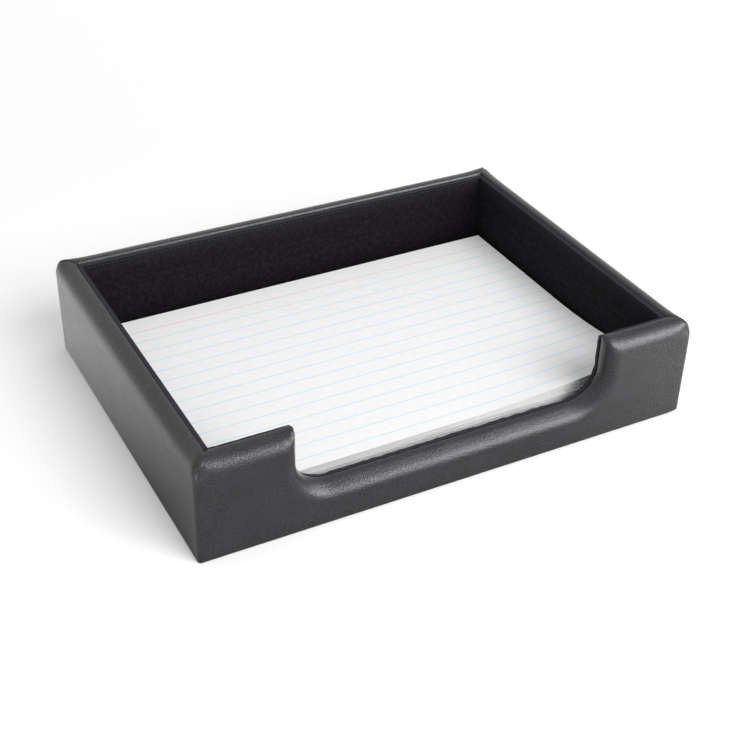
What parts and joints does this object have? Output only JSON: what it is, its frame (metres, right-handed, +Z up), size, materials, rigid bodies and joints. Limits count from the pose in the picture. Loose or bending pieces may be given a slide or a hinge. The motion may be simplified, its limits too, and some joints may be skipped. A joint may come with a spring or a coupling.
{
  "type": "memo card tray",
  "caption": "Open leather-covered desk tray with a finger notch in its front wall and a velvet lining, holding a stack of ruled cards.",
  "frame": {"origin": "under the middle of the tray, on the surface that it stands on", "axes": "+X to the right along the tray's width, +Y to the back, +Z up; the finger notch is in the front wall, at -Y"},
  "size_m": [0.1714, 0.127, 0.0349],
  "materials": {
    "leather": "black bonded leather, fine grain, satin",
    "velvet": "black velveteen, short pile",
    "felt": "black pressed felt",
    "padding": "thin polyether foam sheet",
    "board": "medium density fibreboard, sawn",
    "stiffener": "grey card",
    "thread": "black sewing thread",
    "brad": "bright steel panel pins",
    "card": "white index card stock with pale ruled lines"
  },
  "bodies": {
    "tray": {"base_board": "board", "front_board": "board", "back_board": "board", "left_board": "board", "right_board": "board", "front_padding": "padding", "back_padding": "padding", "left_padding": "padding", "right_padding": "padding", "front_stiffener": "stiffener", "front_velvet": "velvet", "back_stiffener": "stiffener", "back_velvet": "velvet", "left_stiffener": "stiffener", "left_velvet": "velvet", "right_stiffener": "stiffener", "right_velvet": "velvet", "floor_stiffener": "stiffener", "floor_velvet": "velvet", "leather_wrap": "leather", "base_felt": "felt", "lining_thread": "thread", "corner_brads": "brad", "base_brads": "brad"},
    "card_stack": {"card_pack": "card", "card_1": "card", "card_2": "card", "card_3": "card", "card_4": "card", "card_5": "card"},
    "top_card": {"top_card": "card"}
  },
  "joints": [
    {"name": "card_stack_lift", "type": "slide", "parent": "tray", "child": "card_stack", "axis": [0, 0, 1], "range_m": [0, 0.05]},
    {"name": "top_card_lift", "type": "slide", "parent": "card_stack", "child": "top_card", "axis": [0, 0, 1], "range_m": [0, 0.05]}
  ]
}
